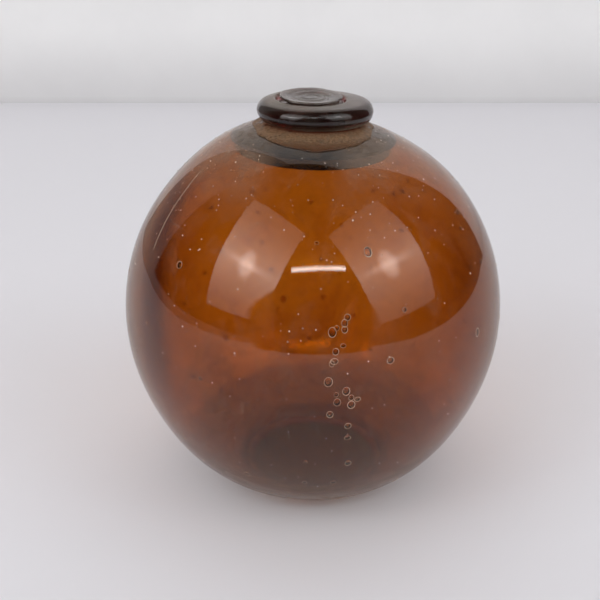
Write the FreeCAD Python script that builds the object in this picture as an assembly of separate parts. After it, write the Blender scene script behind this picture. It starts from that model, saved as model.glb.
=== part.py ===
import FreeCAD
import Part

import math
import os

# Hand-blown glass net float, a sealed hollow ball that carries a fishing net.
# Millimetres, +Z up. The origin is the middle of the flat that it stands on.

# The blown ball
ball_width = 127.0          # across the widest part
ball_half_height = 65.8     # from its widest level to its pole: slightly taller than wide
wall = 1.5                  # glass at the sides
cavity_lift = 0.3           # the glass sank as it set: thicker below by this much, thinner above
sink_radius = 13.0          # the soft ball sank until the table cut its round at this radius
base_wall = 2.2             # glass over the table there
floor_round = 1.5           # blend from the floor of the cavity up into its side
heel_radius = 25.0          # the low heel that the sinking glass squeezed out, which it stands on
heel_round_share = 0.25     # the heel's lower edge, as a share of the heel's height
heel_root_share = 0.7       # the hollow where the heel runs up into the ball, likewise

# The thick collar of glass left round the hole where the blowpipe was cracked off
hole_radius = 12.5
collar_radius = 24.8        # how far out the collar reaches under the shoulder
collar_depth = 5.4          # glass at the collar's edge, measured straight down
collar_round_share = 0.36   # the collar's lower edge, as a share of its step down from the wall
collar_root_share = 0.25    # where the collar runs out into the thin wall, likewise

# The plug, the first gather of glass, which fills the hole and spills over the shoulder as a foot
foot_radius = 18.8
foot_cover = 0.2            # glass over the rim of the hole
foot_round = 0.8
plug_sag = 3.0              # how far the gather hangs below the collar, inside the ball

# The ring, the second gather, rolled into a thick round-edged button on the foot
ring_radius = 18.3
ring_height = 6.6
ring_crown = 0.4            # rise of its top from the edge to the cap's seat
ring_bore_radius = 6.5

# The cap, the last drop of glass, pressed into the middle of the ring
cap_radius = 10.2
cap_shift = -1.2            # it landed a little to the left of the axis
cap_height = 2.4            # rim of the cap above its seat
cap_seat_depth = 1.6        # how deep the seat is sunk in the ring
cap_round = 0.5
cap_tilt = 2.0              # degrees: its rear edge is the high one
cap_dish_radius = 8.6       # the hollow that the tool pressed in its top
cap_dish_depth = 0.6

# Fits: fused glass touches face to face, and the cap's edge stands clear of its seat
fused_gap = 0.0
cap_seat_gap = 0.25

# Levels that follow from the sizes above
ball_radius = ball_width / 2


def ellipse_rise(radius, half_width, half_height):
    """Height of an ellipse above its widest level, at a radius from its axis."""
    return half_height * math.sqrt(1 - (radius / half_width) ** 2)


ball_centre = ellipse_rise(sink_radius, ball_radius, ball_half_height)


def ball_level(radius):
    """Height of the ball's outer skin above the ground, on its upper half."""
    return ball_centre + ellipse_rise(radius, ball_radius, ball_half_height)


ball_top = ball_centre + ball_half_height
collar_under = ball_level(collar_radius) - collar_depth
foot_top = ball_level(hole_radius) + foot_cover
ring_base = foot_top + fused_gap
ring_seat = ring_base + ring_height + ring_crown - cap_seat_depth
cap_base = ring_seat + fused_gap


def point(radius, level):
    return FreeCAD.Vector(radius, 0, level)


def line(start, end):
    return Part.LineSegment(point(*start), point(*end)).toShape()


def arc(start, middle, end):
    return Part.Arc(point(*start), point(*middle), point(*end)).toShape()


def turned(edges):
    """A solid turned about the Z axis from its half outline."""
    face = Part.Face(Part.Wire(edges))
    solid = face.revolve(FreeCAD.Vector(0, 0, 0), FreeCAD.Vector(0, 0, 1), 360)
    return solid if solid.Volume > 0 else solid.reversed()


def cylinder(radius, low, high):
    return Part.makeCylinder(radius, high - low, FreeCAD.Vector(0, 0, low))


def ellipsoid(half_width, half_height, centre):
    """An ellipsoid of revolution, whichever of its two sizes is the larger."""
    top, side = point(0, centre + half_height), point(half_width, centre)
    if half_height > half_width:
        outline = Part.Ellipse(top, side, point(0, centre)).toShape(0, math.pi)
    else:
        outline = Part.Ellipse(side, top, point(0, centre)).toShape(-math.pi / 2, math.pi / 2)
    axis = line((0, centre - half_height), (0, centre + half_height))
    return turned(Part.__sortEdges__([outline, axis]))


def ring_edges(solid, radius, level, tolerance=1e-3):
    """The round edges of a solid at one radius and level."""
    found = []
    for edge in solid.Edges:
        where = edge.Vertexes[0].Point
        same_level = abs(where.z - level) < tolerance and abs(edge.BoundBox.ZLength) < tolerance
        if same_level and abs(math.hypot(where.x, where.y) - radius) < tolerance:
            found.append(edge)
    return found


def ball_skin():
    """The ball's outside, standing on its heel."""
    whole = ellipsoid(ball_radius, ball_half_height, ball_centre)
    standing = whole.common(cylinder(ball_width, 0, 2 * ball_top))
    heel_top = ball_centre - ellipse_rise(heel_radius, ball_radius, ball_half_height)
    standing = standing.fuse(cylinder(heel_radius, 0, 1.5 * heel_top)).removeSplitter()
    hollow = heel_top * heel_root_share
    standing = standing.makeFillet(hollow, ring_edges(standing, heel_radius, heel_top))
    return standing.makeFillet(heel_top * heel_round_share, ring_edges(standing, heel_radius, 0))


def cavity():
    """The sealed air space: a thin-walled ball with a flat floor, stepped in by the collar."""
    inner_radius = ball_radius - wall
    inner_half_height = ball_half_height - wall
    inner_centre = ball_centre + cavity_lift
    air = ellipsoid(inner_radius, inner_half_height, inner_centre)
    air = air.common(cylinder(ball_width, base_wall, 2 * ball_top))
    floor_drop = (inner_centre - base_wall) / inner_half_height
    floor_radius = inner_radius * math.sqrt(1 - floor_drop ** 2)
    air = air.makeFillet(floor_round, ring_edges(air, floor_radius, base_wall))
    air = air.cut(cylinder(collar_radius, collar_under, 2 * ball_top))
    root_level = inner_centre + ellipse_rise(collar_radius, inner_radius, inner_half_height)
    step = root_level - collar_under
    air = air.makeFillet(step * collar_root_share, ring_edges(air, collar_radius, root_level))
    return air.makeFillet(step * collar_round_share, ring_edges(air, collar_radius, collar_under))


def float_shell():
    hole = cylinder(hole_radius, collar_under - collar_depth, 2 * ball_top)
    return ball_skin().cut(cavity()).cut(hole)


def seal_plug():
    """The stem in the blow hole with its hanging drop, and the foot over the shoulder."""
    stem_radius = hole_radius - fused_gap
    foot_blank = cylinder(foot_radius, collar_under, foot_top)
    foot_blank = foot_blank.makeFillet(foot_round, ring_edges(foot_blank, foot_radius, foot_top))
    foot = foot_blank.cut(ellipsoid(ball_radius, ball_half_height, ball_centre))
    stem = turned([
        line((0, foot_top), (stem_radius, foot_top)),
        line((stem_radius, foot_top), (stem_radius, collar_under)),
        arc((stem_radius, collar_under), drop_middle(stem_radius), (0, collar_under - plug_sag)),
        line((0, collar_under - plug_sag), (0, foot_top)),
    ])
    return foot.fuse(stem).removeSplitter()


def drop_middle(stem_radius):
    """The halfway point of the drop's round underside, which is a shallow spherical cap."""
    bowl_radius = (stem_radius ** 2 + plug_sag ** 2) / (2 * plug_sag)
    half_turn = math.asin(stem_radius / bowl_radius) / 2
    across = bowl_radius * math.sin(half_turn)
    return across, collar_under - plug_sag + bowl_radius * (1 - math.cos(half_turn))


def seal_ring():
    """The rolled ring: a flat underside, a half-round nose and a low crown round the cap's seat."""
    nose = ring_height / 2
    nose_start = ring_radius - nose
    seat_radius = cap_radius + abs(cap_shift) + cap_seat_gap
    low, high = ring_base, ring_base + ring_height
    crown = high + ring_crown
    return turned([
        line((ring_bore_radius, low), (nose_start, low)),
        arc((nose_start, low), (ring_radius, low + nose), (nose_start, high)),
        line((nose_start, high), (seat_radius, crown)),
        line((seat_radius, crown), (seat_radius, ring_seat)),
        line((seat_radius, ring_seat), (ring_bore_radius, ring_seat)),
        line((ring_bore_radius, ring_seat), (ring_bore_radius, low)),
    ])


def seal_cap():
    """A coin of glass on its seat, thicker to the rear, dished on top, with a stem down the ring."""
    coin = Part.makeCylinder(cap_radius, 2 * cap_height, FreeCAD.Vector(cap_shift, 0, cap_base))
    above = Part.makeBox(4 * cap_radius, 4 * cap_radius, 4 * cap_height)
    above.translate(FreeCAD.Vector(cap_shift - 2 * cap_radius, -2 * cap_radius, cap_base + cap_height))
    pivot = FreeCAD.Vector(cap_shift, 0, cap_base + cap_height)
    above.rotate(pivot, FreeCAD.Vector(1, 0, 0), cap_tilt)
    coin = coin.cut(above)
    rim = [edge for edge in coin.Edges if edge.BoundBox.ZMin > cap_base + cap_height / 2
           and edge.Length > cap_radius * math.pi]
    coin = coin.makeFillet(cap_round, rim)
    bowl_radius = (cap_dish_radius ** 2 + cap_dish_depth ** 2) / (2 * cap_dish_depth)
    lean = FreeCAD.Rotation(FreeCAD.Vector(1, 0, 0), cap_tilt)
    bowl_centre = pivot + lean.multVec(FreeCAD.Vector(0, 0, bowl_radius - cap_dish_depth))
    coin = coin.cut(Part.makeSphere(bowl_radius, bowl_centre))
    stem = cylinder(ring_bore_radius - fused_gap, ring_base, cap_base + cap_dish_depth)
    return coin.fuse(stem).removeSplitter()


parts = {
    "float_shell": float_shell(),
    "seal_plug": seal_plug(),
    "seal_ring": seal_ring(),
    "seal_cap": seal_cap(),
}

os.makedirs("parts", exist_ok=True)
for name, shape in parts.items():
    for solid in shape.Solids:
        print(name, "valid" if solid.isValid() else "INVALID", round(solid.Volume, 1), "mm3",
              len(solid.Faces), "faces")
    shape.exportStep(os.path.join("parts", name + ".step"))
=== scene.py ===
import math

import bpy
import numpy as np
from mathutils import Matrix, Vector


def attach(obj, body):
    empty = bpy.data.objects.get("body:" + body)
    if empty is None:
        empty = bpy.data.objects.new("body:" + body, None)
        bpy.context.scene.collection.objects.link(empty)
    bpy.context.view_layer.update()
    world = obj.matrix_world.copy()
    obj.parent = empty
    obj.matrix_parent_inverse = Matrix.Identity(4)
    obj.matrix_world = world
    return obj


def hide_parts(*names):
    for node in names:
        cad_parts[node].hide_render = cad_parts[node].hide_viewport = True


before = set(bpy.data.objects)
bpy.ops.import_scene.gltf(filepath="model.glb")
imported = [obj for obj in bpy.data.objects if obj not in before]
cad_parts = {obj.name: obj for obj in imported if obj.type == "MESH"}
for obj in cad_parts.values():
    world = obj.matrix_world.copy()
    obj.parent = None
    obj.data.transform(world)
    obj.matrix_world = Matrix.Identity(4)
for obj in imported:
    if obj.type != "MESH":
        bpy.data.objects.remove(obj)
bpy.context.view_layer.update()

# ---------------------------------------------------------------------------
# The blown ball. A gather of amber glass blown to a thin hollow ball, a little
# taller than wide, that sagged onto a low heel and leaned as it cooled. Its
# wall is full of seeds: gas bubbles drawn flat between its two skins.

MM = 0.001
ball_radius = 63.5
ball_half_height = 65.8
sink_radius = 13.0          # the table cut the soft ball's round at this radius as it sank
heel_radius = 25.0          # the low heel of squeezed-out glass that it stands on
heel_edge = 0.6
heel_root = 2.2             # how far out the heel's root reaches
wall = 1.45
cavity_lift = 0.25          # the glass sank as it set, so the wall is thicker below
base_wall = 2.2
hole_radius = 12.55
collar_radius = 24.8        # the thick glass left round the blow hole
collar_depth = 5.4
turns = 256                 # faces round each turned piece
lean = 0.031                # the shoulder and the seal slope down to the right
amber = (0.84, 0.52, 0.18)
DEGREE = math.pi / 180

ball_centre = ball_half_height * math.sqrt(1 - (sink_radius / ball_radius) ** 2)


def skin_level(radius):
    """Height of the ball's upper skin above the ground, at a radius from its axis."""
    return ball_centre + ball_half_height * np.sqrt(1 - (np.asarray(radius) / ball_radius) ** 2)


def bowl_line(half_width, half_height, floor, top_radius, count, lift=0.0):
    """Half outline of a ball with a flat floor, from the floor's middle to a top radius."""
    top = math.acos(top_radius / half_width)
    drop = math.asin(min(1.0, (ball_centre + lift - floor) / half_height))
    turn = np.linspace(-drop, top, count)
    radius = half_width * np.cos(turn)
    level = ball_centre + lift + half_height * np.sin(turn)
    across = np.linspace(0, radius[0], 9)[:-1]
    return np.vstack([
        np.column_stack([across, np.full(len(across), floor)]),
        np.column_stack([radius, level]),
    ])


def softened(line, step, reach):
    """A half outline in even steps, with its corners rounded over a reach."""
    run = np.concatenate([[0], np.cumsum(np.linalg.norm(np.diff(line, axis=0), axis=1))])
    at = np.linspace(0, run[-1], max(4, int(round(run[-1] / step))))
    even = np.column_stack([np.interp(at, run, line[:, k]) for k in (0, 1)])
    width = max(1, int(round(reach / step)))
    kernel = np.hanning(2 * width + 3)[1:-1]
    kernel /= kernel.sum()
    padded = np.vstack([
        2 * even[0] - even[width:0:-1], even, 2 * even[-1] - even[-2:-width - 2:-1],
    ])
    smooth = np.column_stack([np.convolve(padded[:, k], kernel, "valid") for k in (0, 1)])
    smooth[0], smooth[-1] = even[0], even[-1]
    return smooth


def turned(name, outline, shape, loop=False):
    """A closed mesh turned from a half outline, pole to pole or a loop, then shaped by the given
    shape.
    """
    rings = outline if loop else outline[1:-1]
    angle = np.linspace(0, 2 * math.pi, turns, endpoint=False)
    grid = np.empty((len(rings), turns, 3))
    grid[:, :, 0] = rings[:, :1] * np.cos(angle)
    grid[:, :, 1] = rings[:, :1] * np.sin(angle)
    grid[:, :, 2] = rings[:, 1:]
    points = grid.reshape(-1, 3)
    if not loop:
        poles = [(0, 0, outline[0][1]), (0, 0, outline[-1][1])]
        points = np.vstack([points, poles])
    points = shape(points) * MM
    here = np.arange(turns)
    there = (here + 1) % turns
    faces = []
    for low in range(len(rings) if loop else len(rings) - 1):
        high = (low + 1) % len(rings)
        a, b = low * turns + here, low * turns + there
        c, d = high * turns + there, high * turns + here
        faces += np.column_stack([a, b, c, d]).tolist()
    if not loop:
        first, last = len(points) - 2, len(points) - 1
        top = (len(rings) - 1) * turns
        faces += [(first, int(j), int(i)) for i, j in zip(here, there)]
        faces += [(last, top + int(i), top + int(j)) for i, j in zip(here, there)]
    mesh = bpy.data.meshes.new(name)
    mesh.from_pydata(points.tolist(), [], faces)
    mesh.validate()
    mesh.shade_smooth()
    piece = bpy.data.objects.new(name, mesh)
    bpy.context.scene.collection.objects.link(piece)
    return piece


def eased(value, start, end):
    """0 before start, 1 after end, and a smooth climb between."""
    share = np.clip((value - start) / (end - start), 0, 1)
    return share * share * (3 - 2 * share)


def polar(points):
    """The angle and the radius of each point round the axis."""
    return np.arctan2(points[:, 1], points[:, 0]), np.hypot(points[:, 0], points[:, 1])


def leaned(points):
    """The shoulder and all that stands on it slope down to the right."""
    radius = polar(points)[1]
    high = eased(points[:, 2], ball_centre + 20, ball_centre + 52)
    share = high * (1 - eased(radius, 24, 50))
    points[:, 2] -= lean * points[:, 0] * share
    return points


def blown(points):
    """The slow swells that breath and gravity leave in a ball, fading to nothing at its base."""
    middle = np.array([0, 0, ball_centre])
    arm = points - middle
    reach = np.linalg.norm(arm, axis=1)
    angle = np.arctan2(arm[:, 1], arm[:, 0])
    tilt = np.arcsin(np.clip(arm[:, 2] / reach, -1, 1))
    belt = np.cos(tilt) ** 2
    swell = 0.20 * np.sin(2 * angle + 0.6) * belt
    swell += 0.13 * np.sin(3 * angle - 1.1 + 2.0 * tilt) * belt
    swell += 0.07 * np.sin(5 * angle + 0.4 - 3.0 * tilt) * belt
    swell -= 0.45 * np.exp(-((tilt + 0.45) / 0.33) ** 2) * belt
    swell += 1.0 * np.exp(-((tilt + 0.95) / 0.30) ** 2)
    swell *= eased(points[:, 2], 1, 8)
    points = middle + arm * (1 + swell / reach)[:, None]
    return leaned(points)


def ball_outline():
    """Half outline of the ball's glass: up its outside, in through the hole, round and down inside."""
    round_part = bowl_line(ball_radius, ball_half_height, 0.0, hole_radius, 130)
    heel_top = ball_centre - float(skin_level(heel_radius) - ball_centre)
    heel = [(0.0, 0.0), (heel_radius - heel_edge, 0.0), (heel_radius, heel_edge),
            (heel_radius, 0.4 * heel_top)]
    above = (round_part[:, 0] > heel_radius + heel_root) | (round_part[:, 1] > ball_centre)
    outside = np.vstack([heel, round_part[above]])
    inner_width, inner_height = ball_radius - wall, ball_half_height - wall
    inside = bowl_line(inner_width, inner_height, base_wall, collar_radius, 120, cavity_lift)[::-1]
    under = float(skin_level(collar_radius)) - collar_depth
    collar = softened(np.array([
        outside[-1], (hole_radius, under), (collar_radius, under), inside[0],
    ]), 0.45, 1.1)
    outside = softened(outside, 1.15, 1.7)
    inside = softened(inside, 1.7, 2.6)
    return np.vstack([outside, collar[1:-1], inside])


def marked(piece, name, values):
    """Keeps a value for each point, for the material and for what is strewn on the piece."""
    marks = piece.data.attributes.new(name, "FLOAT", "POINT")
    marks.data.foreach_set("value", values.astype(np.float32))


float_shell = turned("float_shell", ball_outline(), blown)

# The outer skin carries the dust, and so does the flat that the ball stands on.
between_skins = 0.972       # a squared distance from the middle, where the outer skin's is about 1
flat_level = 0.8
co = np.array([v.co for v in float_shell.data.vertices]) / MM
around, radius = polar(co)
level = co[:, 2]
skin = (radius / ball_radius) ** 2
skin += ((level - ball_centre) / ball_half_height) ** 2
outside_skin = np.where(skin > between_skins, 1.0, 0.0)
outside_skin[level < flat_level] = 1.0
marked(float_shell, "outer_skin", outside_skin)
# Most seeds lie in one file down the front, a little to the right of its middle.
file_angle = -math.pi / 2 + 0.13
file_width = 3.4
in_file = np.exp(-(radius * np.abs(around - file_angle) / file_width) ** 2)
in_file *= eased(level, 36, 44)
in_file *= 1 - eased(level, 84, 90)
seediness = (0.0022 + 0.055 * in_file) * outside_skin * eased(level, 6, 12)
seediness *= 1 - eased(level, 112, 118)
marked(float_shell, "seediness", seediness)
# Sand clings to the shoulder more than to the rest.
sandiness = (0.009 + 0.026 * eased(level, 85, 118)) * outside_skin * eased(level, 4, 10)
sandiness *= 1 - eased(level, 125, 127)
marked(float_shell, "sandiness", sandiness)


class Wire:
    """A value in a material's node tree, which adds and multiplies like a number."""

    def __init__(self, finish, socket):
        self.finish = finish
        self.socket = socket

    def math(self, operation, *values):
        return self.finish.math(operation, *values)

    def __add__(self, other):
        return self.math("ADD", self, other)

    def __mul__(self, other):
        return self.math("MULTIPLY", self, other)

    def __sub__(self, other):
        return self.math("SUBTRACT", self, other)

    def __rsub__(self, other):
        return self.math("SUBTRACT", other, self)

    def __pow__(self, power):
        return self.math("POWER", self, power)

    def __abs__(self):
        return self.math("ABSOLUTE", self)

    def most(self, *others):
        """The largest of this value and some others."""
        result = self
        for other in others:
            result = self.math("MAXIMUM", result, other)
        return result

    __radd__ = __add__
    __rmul__ = __mul__

    def over(self, start, end):
        """0 up to start, 1 from end, and smooth between; the other way round if end is lower."""
        return self.finish.node("ShaderNodeMapRange", {"interpolation_type": "SMOOTHSTEP"}, {
            "Value": self, "From Min": start, "From Max": end})["Result"]


class Finish:
    """A material under construction, with places in metres from the flat that the ball stands on."""

    def __init__(self, name):
        self.material = bpy.data.materials.new(name)
        self.material.use_nodes = True
        self.tree = self.material.node_tree
        self.tree.nodes.clear()
        self.place = self.node("ShaderNodeTexCoord")["Object"]
        x_y_z = self.node("ShaderNodeSeparateXYZ", {}, {"Vector": self.place})
        self.x, self.y, self.z = x_y_z["X"], x_y_z["Y"], x_y_z["Z"]
        self.radius = (self.x * self.x + self.y * self.y) ** 0.5
        # the way round from the front, in radians, more to the right
        self.azimuth = self.math("ARCTAN2", self.x, self.y * -1)

    def math(self, operation, *values):
        return self.node("ShaderNodeMath", {"operation": operation}, dict(enumerate(values)))["Value"]

    def node(self, kind, settings=None, sockets=None):
        """A node of one type, its settings first, then a value or a wire for each socket."""
        node = self.tree.nodes.new(kind)
        for key, value in (settings or {}).items():
            setattr(node, key, value)
        for key, value in (sockets or {}).items():
            if isinstance(value, Wire):
                self.tree.links.new(value.socket, node.inputs[key])
            else:
                node.inputs[key].default_value = value
        return {out.name: Wire(self, out) for out in node.outputs if out.enabled}

    def noise(self, size, detail=2.0, rough=0.5, stretch=None, bend=0.0):
        """Even noise from 0 to 1 whose blotches are about size metres across."""
        place = self.place
        if stretch:
            place = self.node("ShaderNodeMapping", {}, {"Vector": place, "Scale": stretch})["Vector"]
        return self.node("ShaderNodeTexNoise", {}, {
            "Vector": place, "Scale": 1 / size, "Detail": detail, "Roughness": rough,
            "Distortion": bend})["Fac"]

    def specks(self, size, share):
        """Small round specks, size metres apart, each share of that across."""
        gap = self.node("ShaderNodeTexVoronoi", {"feature": "F1"}, {
            "Vector": self.place, "Scale": 1 / size})["Distance"]
        return gap.over(share, share * 0.55)

    def tint(self, factor, first, second):
        """A colour between two, by a factor."""
        return self.node("ShaderNodeMix", {"data_type": "RGBA"}, {
            0: factor, 6: first, 7: second})["Result"]

    def bump(self, strength, depth, height):
        """The normal of a skin that is uneven by about depth metres, as a height says."""
        return self.node("ShaderNodeBump", {}, {
            "Strength": strength, "Distance": depth, "Height": height})["Normal"]

    def mixed(self, factor, first, second):
        """One shader where the factor is 0 and another where it is 1."""
        return self.node("ShaderNodeMixShader", {}, {0: factor, 1: first, 2: second})["Shader"]

    def solid(self, color, roughness, gloss, **more):
        """A skin that light doesn't enter."""
        return self.node("ShaderNodeBsdfPrincipled", {}, {
            "Base Color": color, "Roughness": roughness, "Specular IOR Level": gloss, **more})["BSDF"]

    def done(self, **outputs):
        self.node("ShaderNodeOutputMaterial", {}, outputs)
        return self.material

    def glass(self, color, sink, density, dusty, dirt_color, roughness, bump):
        """Coloured glass that darkens with its depth and lets light through, under dust."""
        clear = self.node("ShaderNodeBsdfPrincipled", {}, {
            "Base Color": color, "Roughness": roughness, "IOR": 1.47,
            "Transmission Weight": 1.0, "Normal": bump})["BSDF"]
        lit = self.node("ShaderNodeBsdfTransparent", {}, {"Color": (0.99, 0.94, 0.91, 1)})["BSDF"]
        from_lamp = self.node("ShaderNodeLightPath")["Is Shadow Ray"]
        clear = self.mixed(from_lamp, clear, lit)
        dust = self.solid(dirt_color, 0.95, 0.2, Normal=bump)
        depth = self.node("ShaderNodeVolumeAbsorption", {}, {
            "Color": (*sink, 1), "Density": density})["Volume"]
        return self.done(Surface=self.mixed(dusty, clear, dust), Volume=depth)


def float_glass():
    """Amber glass with a painted dark streak down one side and painted shade at its sides, under a
    film of dust, scratches and grains, with painted light at its sole.
    """
    f = Finish("float_glass")
    outer = f.node("ShaderNodeAttribute", {"attribute_name": "outer_skin"})["Fac"]
    grain = f.noise(0.0007, 3, 0.7)
    cloud = f.noise(0.016, 4, 0.6, bend=0.4)
    stain = f.noise(0.022, 6, 0.68, bend=1.2).over(0.5, 0.7)

    # A painted dark streak, standing in for a dark reflection, bends down from the left shoulder, and
    # a crease runs beside it. Each path gives an azimuth in degrees, at a rise in millimetres above a
    # level of its own.
    dark_streak_rise = (f.z - 0.060) * (1 / MM)
    dark_streak_path = DEGREE * (-50 - 0.05 * dark_streak_rise - 0.006 * (dark_streak_rise * dark_streak_rise))
    off_dark_streak = abs(f.azimuth - dark_streak_path) * f.radius
    painted_dark_streak = off_dark_streak.over(0.012, 0.002) * f.z.over(0.040, 0.070) * f.z.over(0.120, 0.109)
    painted_dark_streak = painted_dark_streak * (0.75 + 0.25 * cloud.over(0.35, 0.6))
    crease_rise = (f.z - 0.096) * (1 / MM)
    crease_path = DEGREE * (-61 - 0.14 * crease_rise)
    off_crease = abs(f.azimuth - crease_path + (cloud - 0.5) * 0.03) * f.radius
    crease = off_crease.over(0.0004, 0.0001) * f.z.over(0.092, 0.098) * f.z.over(0.121, 0.116)
    # Painted shade darkens the tone towards the left and right sides, and the painted dark streak
    # darkens it more.
    painted_side_shade = abs(f.x).over(0.034, 0.056) * 0.55
    tone = f.tint(stain * 0.75, (*amber, 1), (0.70, 0.36, 0.12, 1))
    tone = f.tint(painted_side_shade, tone, (0.64, 0.35, 0.13, 1))
    tone = f.tint(painted_dark_streak, tone, (0.30, 0.13, 0.11, 1))

    # Dust lies on the shoulders and the lower half, and thinly all over; at the sides it is partly
    # dust and partly painted shade.
    aside = abs(f.x + 0.002).over(0.005, 0.019)
    shoulder = f.radius.over(0.050, 0.024) * f.z.over(0.088, 0.108) * (0.06 + 0.94 * aside)
    haze = shoulder * (0.12 + 0.34 * cloud.over(0.35, 0.65) + 0.08 * grain.over(0.4, 0.7))
    # Partly dust, partly painted shade: the film thickens towards the left and right sides.
    rim = (f.x * f.x).over(0.044 ** 2, 0.063 ** 2) * (0.65 + 0.35 * cloud.over(0.3, 0.7)) * 0.36
    smear = f.noise(0.009, 5, 0.7, stretch=(0.5, 0.5, 1.5), bend=1.0).over(0.36, 0.64)
    foot = f.z.over(0.044, 0.012) * (0.30 + 0.70 * smear) * 0.48
    caked = f.z.over(0.026, 0.009) * (0.40 + 0.48 * smear)
    streaks = f.noise(0.010, 5, 0.65, stretch=(1, 1, 0.4), bend=0.8).over(0.45, 0.75)
    patchy = 0.12 + 0.55 * f.noise(0.003, 5, 0.7, bend=0.6).over(0.42, 0.66)
    skirt = f.radius.over(0.0300, 0.0225) * f.z.over(0.115, 0.120) * (0.45 + 0.55 * aside) * patchy
    drift = 0.005 + 0.10 * streaks
    specks = f.specks(0.0042, 0.075) * f.noise(0.02).over(0.45, 0.6) * 0.6
    fine = grain.over(0.60, 0.74) * cloud.over(0.35, 0.7) * 0.16
    upright = f.noise(0.0011, 2, 0.6, stretch=(1, 1, 0.045)).over(0.68, 0.78)
    sideways = f.noise(0.0013, 2, 0.6, stretch=(0.05, 0.05, 1)).over(0.70, 0.80)
    scratches = 0.22 * upright + 0.16 * sideways
    # Painted light: a pale film on the sole brightens the shaded underside.
    sole_painted_light = f.z.over(0.0024, 0.0008) * (0.62 + 0.20 * smear)
    dusty = haze.most(rim, foot, caked, skirt, sole_painted_light, drift, specks, crease * 0.5, scratches) + fine
    # It is pale high up, brown low down and round the seal, paler in specks and scratches, and
    # painted a pale orange at the sole, a painted light that brightens the shaded underside.
    pale = f.tint(grain.over(0.35, 0.65), (0.20, 0.135, 0.095, 1), (0.33, 0.235, 0.170, 1))
    dark = f.tint(grain.over(0.35, 0.65), (0.125, 0.062, 0.026, 1), (0.200, 0.115, 0.062, 1))
    color = f.tint(f.z.over(0.030, 0.085), dark, pale)
    crust = f.tint(grain.over(0.35, 0.65), (0.170, 0.092, 0.052, 1), (0.300, 0.190, 0.120, 1))
    color = f.tint(caked.over(0.1, 0.5), color, crust)
    color = f.tint(sole_painted_light.over(0.0, 0.5), color, (0.92, 0.60, 0.38, 1))
    color = f.tint(skirt.over(0.1, 0.4), color, (0.175, 0.105, 0.058, 1))
    color = f.tint(specks.over(0.1, 0.3).most(scratches.over(0.02, 0.1), crease), color,
                   (0.42, 0.33, 0.24, 1))
    bump = f.bump(0.02, 0.0002, f.noise(0.0016, 2, 0.5))
    rough = 0.02 + 0.07 * (1 - outer) + 0.05 * f.z.over(0.050, 0.010)
    return f.glass(tone, (0.837, 0.68, 0.083), 1150, dusty * outer, color, rough, bump)


glass_of_ball = float_glass()
float_shell.data.materials.append(glass_of_ball)


def node_tree(name, inputs):
    """An empty Geometry Nodes tree with a geometry in and out and named inputs."""
    tree = bpy.data.node_groups.new(name, "GeometryNodeTree")
    tree.interface.new_socket("Geometry", in_out="INPUT", socket_type="NodeSocketGeometry")
    sockets = {}
    for label, kind in inputs.items():
        sockets[label] = tree.interface.new_socket(label, in_out="INPUT", socket_type=kind).identifier
    tree.interface.new_socket("Geometry", in_out="OUTPUT", socket_type="NodeSocketGeometry")
    return tree, sockets


def placed(tree, kind, settings=None, sockets=None):
    """A geometry node: its settings first, then a value or another node's output for each socket."""
    node = tree.nodes.new(kind)
    for key, value in (settings or {}).items():
        setattr(node, key, value)
    for key, value in (sockets or {}).items():
        if isinstance(value, bpy.types.NodeSocket):
            tree.links.new(value, node.inputs[key])
        else:
            node.inputs[key].default_value = value
    return node


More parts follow.
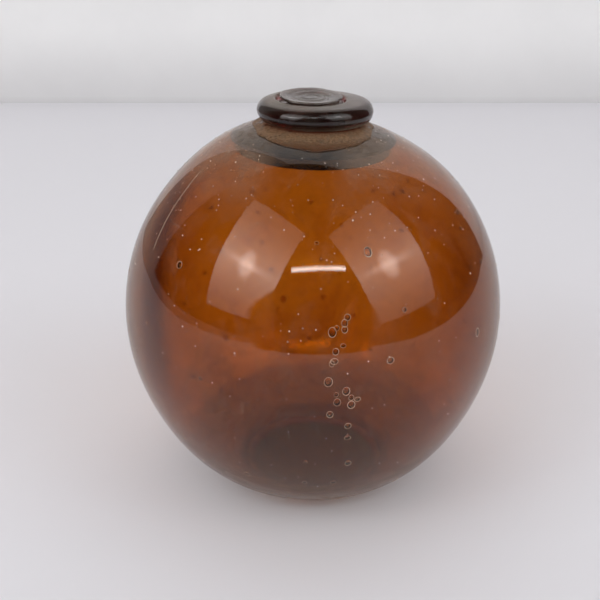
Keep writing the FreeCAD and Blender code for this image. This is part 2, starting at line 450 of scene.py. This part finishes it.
def scattered(name, thickness, shape):
    """A tree that strews bubbles, grains or rims over a skin, as thickly as an attribute says."""
    tree, inputs = node_tree(name, {
        "Spread": "NodeSocketFloat", "Small": "NodeSocketFloat", "Large": "NodeSocketFloat",
        "Flatness": "NodeSocketFloat", "Sink": "NodeSocketFloat", "Seed": "NodeSocketInt",
        "Finish": "NodeSocketMaterial"})

    def product(first, second):
        return placed(tree, "ShaderNodeMath", {"operation": "MULTIPLY"},
                      {0: first, 1: second}).outputs[0]

    ground = placed(tree, "NodeGroupInput").outputs
    thickly = placed(tree, "GeometryNodeInputNamedAttribute", {"data_type": "FLOAT"},
                     {"Name": thickness}).outputs["Attribute"]
    strewn = placed(tree, "GeometryNodeDistributePointsOnFaces", {"distribute_method": "RANDOM"}, {
        "Mesh": ground["Geometry"], "Density": product(thickly, ground["Spread"]),
        "Seed": ground["Seed"]})
    size = placed(tree, "FunctionNodeRandomValue", {"data_type": "FLOAT"}, {
        2: ground["Small"], 3: ground["Large"], "Seed": ground["Seed"]}).outputs[1]
    stretch = placed(tree, "FunctionNodeRandomValue", {"data_type": "FLOAT"}, {
        2: 0.75, 3: 1.3, "Seed": 7}).outputs[1]
    scale = placed(tree, "ShaderNodeCombineXYZ", {}, {
        "X": size, "Y": product(size, stretch), "Z": product(size, ground["Flatness"])}).outputs[0]
    if shape == "rim":
        line, profile = [placed(tree, "GeometryNodeCurvePrimitiveCircle", {}, {
            "Radius": reach, "Resolution": corners}).outputs["Curve"]
            for reach, corners in ((1.0, 16), (0.09, 5))]
        lump = placed(tree, "GeometryNodeCurveToMesh", {}, {
            "Curve": line, "Profile Curve": profile}).outputs["Mesh"]
    else:
        lump = placed(tree, "GeometryNodeMeshIcoSphere", {}, {
            "Radius": 1.0, "Subdivisions": 2 if shape == "bubble" else 1}).outputs["Mesh"]
    if shape == "bubble":
        lump = placed(tree, "GeometryNodeFlipFaces", {}, {"Mesh": lump}).outputs["Mesh"]
    lump = placed(tree, "GeometryNodeSetShadeSmooth", {}, {
        "Geometry": lump, "Shade Smooth": shape != "grain"}).outputs["Geometry"]
    inward = placed(tree, "ShaderNodeVectorMath", {"operation": "SCALE"}, {
        0: strewn.outputs["Normal"], "Scale": product(ground["Sink"], -1.0)}).outputs[0]
    spots = placed(tree, "GeometryNodeSetPosition", {}, {
        "Geometry": strewn.outputs["Points"], "Offset": inward}).outputs["Geometry"]
    lumps = placed(tree, "GeometryNodeInstanceOnPoints", {}, {
        "Points": spots, "Instance": lump,
        "Rotation": strewn.outputs["Rotation"], "Scale": scale}).outputs["Instances"]
    real = placed(tree, "GeometryNodeRealizeInstances", {}, {"Geometry": lumps}).outputs["Geometry"]
    result = real
    if shape == "bubble":
        result = placed(tree, "GeometryNodeJoinGeometry").outputs["Geometry"]
        tree.links.new(ground["Geometry"], result.node.inputs[0])
        tree.links.new(real, result.node.inputs[0])
    result = placed(tree, "GeometryNodeSetMaterial", {}, {
        "Geometry": result, "Material": ground["Finish"]}).outputs["Geometry"]
    placed(tree, "NodeGroupOutput", {}, {"Geometry": result})
    return tree, inputs


def grown(piece, tree, inputs, values):
    """Runs a tree on a piece and leaves its result as a plain mesh."""
    growth = piece.modifiers.new("growth", "NODES")
    growth.node_group = tree
    for label, value in values.items():
        growth[inputs[label]] = value
    evaluated = piece.evaluated_get(bpy.context.evaluated_depsgraph_get())
    mesh = bpy.data.meshes.new_from_object(evaluated)
    piece.modifiers.clear()
    piece.data = mesh


per_square_mm = 1 / MM ** 2
bare_ball = float_shell.data.copy()
seeds, seed_inputs = scattered("glass_seeds", "seediness", "bubble")
grown(float_shell, seeds, seed_inputs, {
    "Spread": per_square_mm, "Small": 0.0006, "Large": 0.0012, "Flatness": 0.38, "Sink": 0.00072,
    "Seed": 3, "Finish": glass_of_ball})

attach(float_shell, "root")
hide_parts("float_shell")

# ---------------------------------------------------------------------------
# The sand that stuck to the ball on the beach: pale faceted grains all over; and a
# painted highlight, a fine pale rim round each seed that lies close under the skin.


def sand_and_highlight_finish(name, pale, brown):
    f = Finish(name)
    color = f.tint(f.noise(0.004).over(0.4, 0.6), pale, brown)
    return f.done(Surface=f.solid(color, 0.6, 0.5))


sand_finish = sand_and_highlight_finish("sand", (0.68, 0.58, 0.46, 1), (0.34, 0.22, 0.14, 1))
# Painted highlight: the rims are pale rings round each seed.
rim_highlight_finish = sand_and_highlight_finish("rim_highlight", (0.46, 0.34, 0.23, 1), (0.27, 0.16, 0.09, 1))
for name, thickness, shape, small, large, sink, seed, finish in (
        ("sand_grains", "sandiness", "grain", 0.00008, 0.00025, -0.00004, 11, sand_finish),
        ("seed_highlight_rims", "seediness", "rim", 0.0006, 0.0012, 0.00004, 3, rim_highlight_finish)):
    stuck = bpy.data.objects.new(name, bare_ball.copy())
    bpy.context.scene.collection.objects.link(stuck)
    tree, inputs = scattered(name + "_strewn", thickness, shape)
    grown(stuck, tree, inputs, {
        "Spread": per_square_mm, "Small": small, "Large": large, "Flatness": 0.8, "Sink": sink,
        "Seed": seed, "Finish": finish})
    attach(stuck, "root")

# ---------------------------------------------------------------------------
# The plug. The first gather of glass dropped on the blow hole: a stem that
# fills it, a drop that hangs inside, and a thin foot over the shoulder.

foot_radius = 18.8
foot_cover = 0.2
plug_sag = 3.0
front_creep = 4.8           # how much farther the foot crept down the front
shoulder_end = 40.0         # farther out than the foot can creep
air = 0.06                  # a hair of air between fused pieces keeps their faces apart

foot_top = float(skin_level(hole_radius - 0.05)) + foot_cover


def plug_outline():
    under = float(skin_level(collar_radius)) - collar_depth
    stem = hole_radius - air
    drop = [(stem * math.sin(t), under - plug_sag * math.cos(t)) for t in np.linspace(0, 1.45, 14)]
    slope = [(r, float(skin_level(r)) + air) for r in np.linspace(stem + 0.2, foot_radius, 12)]
    rim = [(foot_radius + 0.3, float(skin_level(foot_radius)) + 0.18),
           (foot_radius - 0.7, float(skin_level(foot_radius)) + 0.75),
           (foot_radius - 2.2, foot_top - 0.30), (foot_radius - 3.5, foot_top - air)]
    top = [(0.0, foot_top - air)]
    return softened(np.array(drop + slope + rim + top), 0.42, 0.45)


def shoulder_level(radius):
    """Height of the shoulder that the foot lies on."""
    return skin_level(np.minimum(radius, shoulder_end))


def crept(points):
    """The foot crept unevenly over the shoulder before it set."""
    angle, radius = polar(points)
    edge = eased(radius, 14, foot_radius)
    creep = front_creep * np.clip(-np.sin(angle), 0, 1) ** 2
    creep += 0.28 * np.sin(2 * angle + 2.2) + 0.2 * np.sin(3 * angle - 0.5)
    creep += 0.22 * np.sin(7 * angle) + 0.14 * np.sin(12 * angle + 1.0) + 0.08 * np.sin(19 * angle)
    points[:, :2] *= (1 + creep * edge / np.maximum(radius, 1))[:, None]
    points[:, 2] += (shoulder_level(polar(points)[1]) - shoulder_level(radius)) * edge
    return leaned(points)


def plug_glass():
    f = Finish("plug_glass")
    grain = f.noise(0.0008, 3, 0.7)
    cloud = f.noise(0.006, 3, 0.6)
    up = f.z.over(0.1235, 0.1255)
    bare = cloud.over(0.60, 0.70) * 0.75
    thin = f.radius.over(0.0238, 0.0190)
    dusty = up * (0.25 + 0.75 * thin) * (0.74 + 0.10 * grain.over(0.35, 0.6)) * (1 - bare)
    color = f.tint(grain.over(0.35, 0.65), (0.150, 0.082, 0.040, 1), (0.215, 0.130, 0.072, 1))
    color = f.tint(f.noise(0.003, 3, 0.6).over(0.45, 0.7), color, (0.150, 0.098, 0.058, 1))
    bump = f.bump(0.25, 0.0003, grain)
    return f.glass((0.6, 0.25, 0.12, 1), (0.82, 0.60, 0.20), 700, dusty, color, 0.25, bump)


seal_plug = turned("seal_plug", plug_outline(), crept)
seal_plug.data.materials.append(plug_glass())
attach(seal_plug, "root")
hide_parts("seal_plug")

# ---------------------------------------------------------------------------
# The ring. The second gather, wound on the foot and rolled to a thick round
# edge while soft, so it is never quite round. Dust lies on its crown; below its
# nose a dust-coloured film is partly dust and partly painted shade.

ring_radius = 18.3
ring_height = 6.6
ring_crown = 0.4
ring_bore_radius = 6.55
cap_radius = 10.2
cap_shift = -1.2
cap_seat_depth = 1.6
seal_shift = 0.45           # the seal landed a little to the right of the ball's axis

ring_base = foot_top + air
ring_seat = ring_base + ring_height + ring_crown - cap_seat_depth


def ring_outline():
    nose = ring_height / 2
    start = ring_radius - nose
    nose_points = 40
    bend = np.linspace(-math.pi / 2, math.pi / 2, nose_points)
    curve = [(start + nose * math.cos(t), ring_base + nose + nose * math.sin(t)) for t in bend]
    seat = cap_radius + 0.3
    crown = ring_base + ring_height + ring_crown
    rest = [(seat + 0.7, crown), (seat, ring_seat), (ring_bore_radius, ring_seat),
            (ring_bore_radius, ring_base), (start, ring_base)]
    line = np.array(curve + rest)
    turned_back = np.roll(line, -nose_points // 2, axis=0)
    return softened(np.vstack([turned_back, turned_back[:1]]), 0.36, 0.7)[:-1]


def rolled(points):
    """The roll's swells, and the lean that it shares with the shoulder."""
    angle, radius = polar(points)
    edge = eased(radius, 11, ring_radius)
    swell = 0.22 * np.sin(2 * angle + 0.3) + 0.14 * np.sin(3 * angle + 1.9)
    swell += 0.03 * np.sin(7 * angle + 0.6)
    points[:, :2] *= (1 + swell * edge / np.maximum(radius, 1))[:, None]
    up = eased(points[:, 2], ring_base + 1, ring_base + ring_height)
    points[:, 2] += up * (0.22 * np.sin(angle + 2.0) + 0.12 * np.sin(4 * angle + 0.7)) * edge
    points[:, 0] += seal_shift + cap_shift * (1 - eased(radius, cap_radius + 1.5, ring_radius - 2))
    return leaned(points)


def ring_glass():
    f = Finish("ring_glass")
    grain = f.noise(0.0007, 3, 0.7)
    cloud = f.noise(0.008, 3, 0.6)
    crown = f.z.over(0.1346, 0.1364) * f.radius.over(0.0175, 0.0150) * 0.42
    # Below the nose: dust, and painted shade where the underside is in shadow.
    under_nose_dust_and_shade = f.z.over(0.1310, 0.1292) * 0.60
    film = 0.015 + 0.05 * cloud.over(0.35, 0.75)
    dusty = (crown + under_nose_dust_and_shade) * (0.70 + 0.30 * grain.over(0.4, 0.62)) + film
    color = f.tint(cloud.over(0.3, 0.7), (0.15, 0.115, 0.075, 1), (0.27, 0.225, 0.165, 1))
    rough = 0.07 + 0.12 * f.noise(0.006, 3, 0.6).over(0.35, 0.65)
    bump = f.bump(0.10, 0.0003, f.noise(0.006, 2, 0.5))
    return f.glass((0.5, 0.2, 0.18, 1), (0.90, 0.62, 0.60), 950, dusty, color, rough, bump)


seal_ring = turned("seal_ring", ring_outline(), rolled, loop=True)
seal_ring.data.materials.append(ring_glass())
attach(seal_ring, "root")
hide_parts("seal_ring")

# ---------------------------------------------------------------------------
# The cap. The last drop, pressed into the ring with a wet tool that left a
# shallow dish with a swirl in it. Its torn edge stands just clear of the ring.

cap_height = 2.4
cap_tilt = 0.035            # its rear edge is the high one
cap_base = ring_seat + air


def cap_outline():
    rim = cap_base + cap_height
    line = [(0, ring_base + 0.1), (ring_bore_radius - air, ring_base + 0.1),
            (ring_bore_radius - air, cap_base), (cap_radius - 1.3, cap_base),
            (cap_radius - 1.1, rim - 0.9), (cap_radius, rim - 0.55), (cap_radius - 0.35, rim),
            (cap_radius - 2.0, rim - 0.12), (cap_radius - 5.0, rim - 0.62), (0, rim - 0.62)]
    return softened(np.array(line), 0.22, 0.32)


def pressed(points):
    """The tool's swirl, the torn edge and the tilt of the cap."""
    angle, radius = polar(points)
    up = eased(points[:, 2], cap_base + 0.2, cap_base + cap_height - 0.7)
    edge = eased(radius, 7.0, cap_radius)
    tear = 0.25 * np.sin(2 * angle - 0.9) + 0.14 * np.sin(5 * angle + 0.5)
    tear += 0.10 * np.sin(9 * angle + 2.0) + 0.06 * np.sin(17 * angle)
    points[:, :2] *= (1 + tear * up * edge / np.maximum(radius, 1))[:, None]
    swirl = 0.15 * np.sin(radius * 2.1 + angle) * np.exp(-((radius - 4.2) / 2.6) ** 2)
    points[:, 2] += up * (swirl + 0.16 * np.sin(angle - 2.3) * edge + cap_tilt * points[:, 1])
    stem = eased(radius, ring_bore_radius, ring_bore_radius + 1.0) * up
    points[:, 0] += cap_shift * np.where(points[:, 2] > cap_base - 0.3, np.maximum(stem, up), 0)
    points[:, 0] += seal_shift
    return leaned(points)


def cap_glass():
    f = Finish("cap_glass")
    grain = f.noise(0.0006, 3, 0.7)
    cloud = f.noise(0.005, 3, 0.6)
    dusty = 0.14 + 0.18 * cloud.over(0.4, 0.7) + 0.12 * grain.over(0.55, 0.7)
    color = f.tint(cloud.over(0.3, 0.7), (0.24, 0.17, 0.13, 1), (0.40, 0.34, 0.30, 1))
    bump = f.bump(0.15, 0.0002, f.noise(0.002, 2, 0.5))
    return f.glass((0.30, 0.19, 0.17, 1), (0.80, 0.68, 0.64), 1200, dusty, color, 0.16, bump)


seal_cap = turned("seal_cap", cap_outline(), pressed)
seal_cap.data.materials.append(cap_glass())
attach(seal_cap, "root")
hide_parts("seal_cap")

# ---------------------------------------------------------------------------
# The table, the wall behind it and the lights: a soft box at each side in front,
# a thin strip between them, and a faint lamp above and behind. The rest of the
# room is dim.

table_reach = 3.0
wall_back = 0.6
wall_reach = 1.4
wall_top = 2.0


def panel(name, corners, material):
    mesh = bpy.data.meshes.new(name)
    mesh.from_pydata(corners, [], [tuple(range(len(corners)))])
    mesh.materials.append(material)
    thing = bpy.data.objects.new(name, mesh)
    bpy.context.scene.collection.objects.link(thing)
    return thing


def wall_paint():
    """Off-white paint, faintly blotched, with painted shade darkening it down in the corner with the
    table.
    """
    f = Finish("wall_paint")
    # Painted shade: the paint darkens towards the corner with the table.
    painted_corner_shade = f.z.over(0.075, 0.0).most(f.z.over(0.02, 0.0) * 1.3) * 0.5
    blotch = f.noise(0.10, 4, 0.6).over(0.3, 0.7) * 0.10
    color = f.tint(painted_corner_shade + blotch, (0.84, 0.835, 0.835, 1), (0.53, 0.52, 0.53, 1))
    return f.done(Surface=f.solid(color, 0.9, 0.1))


table_top = Finish("table_top")
panel("table", [(-table_reach, -table_reach, 0), (table_reach, -table_reach, 0),
                (table_reach, wall_back, 0), (-table_reach, wall_back, 0)],
      table_top.done(Surface=table_top.solid((0.70, 0.69, 0.72, 1), 0.9, 0.1)))
panel("wall", [(-wall_reach, wall_back, -0.2), (wall_reach, wall_back, -0.2),
               (wall_reach, wall_back, wall_top), (-wall_reach, wall_back, wall_top)], wall_paint())

middle = Vector((0, 0, ball_centre * MM))


def lit_cloth(name, strength, tube_glow):
    """A soft box's cloth, brightest along its middle, where the lamp and its tube show through."""
    f = Finish(name)
    off = abs(f.y + 0.07 + f.x * 0.05)
    tube = off.over(0.10, 0.0) * abs(f.x + 0.05).over(1.0, 0.0)
    lamp = (off * off + (f.x + 0.05) ** 2).over(0.09, 0.0)
    level = 0.75 + 2.2 * (1 - off).most(0) ** 1.6 + tube_glow * (2.0 * tube + 3.0 * lamp)
    return f.done(Surface=f.node("ShaderNodeEmission", {}, {"Strength": level * strength})["Emission"])


def facing(thing, azimuth, elevation, distance):
    """Puts a thing at a distance from the ball, facing it; azimuth is from the front, to the right."""
    turn, rise = azimuth * DEGREE, elevation * DEGREE
    away = Vector((math.sin(turn) * math.cos(rise), -math.cos(turn) * math.cos(rise), math.sin(rise)))
    thing.location = middle + away * distance
    thing.rotation_euler = away.to_track_quat("Z", "Y").to_euler()
    return thing


lamp_distance = 1.8


def soft_box(name, azimuth, elevation, width, height, strength, tube_glow):
    """A soft box that faces the ball, with angles in degrees across and up."""
    box = panel(name, [(-1, -1, 0), (-1, 1, 0), (1, 1, 0), (1, -1, 0)],
                lit_cloth(name, strength, tube_glow))
    half_width, half_height = [lamp_distance * math.tan(a * DEGREE / 2) for a in (width, height)]
    box.scale = (half_width, half_height, 1)
    return facing(box, azimuth, elevation, lamp_distance)


soft_box("left_box", -47, 38.5, 40.8, 56.2, 1.27, 1.05)
soft_box("right_box", 57, 36.6, 43.2, 56, 0.92, 1.3)
soft_box("strip", 5, 41.6, 30, 3.2, 7.0, 0.0)


def dark_room(name, corners, glow, bound=None):
    """A stretch of the dim room, seen only as a reflection; a bound fades it out at an oval."""
    f = Finish(name)
    surface = f.node("ShaderNodeEmission", {}, {"Strength": glow})["Emission"]
    if bound:
        out = (f.x * (1 / bound[0])) ** 2 + (f.y * (1 / bound[1])) ** 2
        out = out + 0.4 * (f.noise(0.25, 2) - 0.5)
        gone = f.node("ShaderNodeBsdfTransparent")["BSDF"]
        surface = f.mixed(out.over(0.85, 1.12), surface, gone)
    card = panel(name, corners, f.done(Surface=surface))
    card.visible_camera = card.visible_diffuse = card.visible_shadow = False
    card.visible_transmission = False
    return card


# The dim room: an oval of it in front, where someone stands, a low stretch past each end
# of the table, and a tall one at each side of the pale wall.
near_room = 0.9
room_front = -2.5
side_height = 0.09
bound = [near_room * math.tan(angle * DEGREE) for angle in (37, 23.5)]
oval = [(1.2 * bound[0] * math.cos(t), 1.2 * bound[1] * math.sin(t), 0)
        for t in [i * math.pi / 24 for i in range(48)]]
facing(dark_room("room_in_front", oval, 0.02, bound), 0, 10, near_room)
for side, end, far, near, glow in (("left", -1.25, -1.5, -0.44, 0.30),
                                   ("right", 0.95, 1.5, 0.72, 0.05)):
    back = wall_back - 0.02
    dark_room("room_" + side, [(end, room_front, 0), (end, back, 0), (end, back, side_height),
                               (end, room_front, side_height)], glow)
    back = wall_back - 0.01
    dark_room("room_behind_" + side,
              [(far, back, 0), (near, back, 0), (near * 0.7, back, wall_top), (far, back, wall_top)],
              glow)

fill = bpy.data.lights.new("fill", "AREA")
fill.size, fill.energy = 2.0, 7
fill_lamp = facing(bpy.data.objects.new("fill", fill), 180, 72, 2.2)
fill_lamp.visible_glossy = fill_lamp.visible_transmission = False
bpy.context.scene.collection.objects.link(fill_lamp)

# The camera sees a pale room, diffuse light comes evenly from it, and reflections see it dark.
world = bpy.data.worlds.new("room")
world.use_nodes = True
room = world.node_tree
background = room.nodes["Background"]
path = room.nodes.new("ShaderNodeLightPath")
by_sight, by_light = room.nodes.new("ShaderNodeMix"), room.nodes.new("ShaderNodeMix")
for mix in (by_sight, by_light):
    mix.data_type = "RGBA"
room.links.new(path.outputs["Is Diffuse Ray"], by_light.inputs[0])
dim, even_light, pale_room = (0.02, 0.02, 0.02, 1), (0.43, 0.425, 0.43, 1), (0.66, 0.65, 0.66, 1)
by_light.inputs[6].default_value, by_light.inputs[7].default_value = dim, even_light
room.links.new(path.outputs["Is Camera Ray"], by_sight.inputs[0])
room.links.new(by_light.outputs[2], by_sight.inputs[6])
by_sight.inputs[7].default_value = pale_room
room.links.new(by_sight.outputs[2], background.inputs["Color"])
bpy.context.scene.world = world

# ---------------------------------------------------------------------------
# The camera, five radii from the ball's middle and a little above it, as someone
# bends to look at a small thing on a table.

camera = bpy.data.cameras.new("camera")
camera.angle = 36.209 * DEGREE
camera.shift_x, camera.shift_y = -0.02217, 0.00917
camera_object = facing(bpy.data.objects.new("camera", camera), 0, 25.1, 5 * ball_radius * MM)
bpy.context.scene.collection.objects.link(camera_object)
bpy.context.scene.camera = camera_object
bpy.context.scene.view_settings.view_transform = "Standard"

bpy.context.view_layer.update()
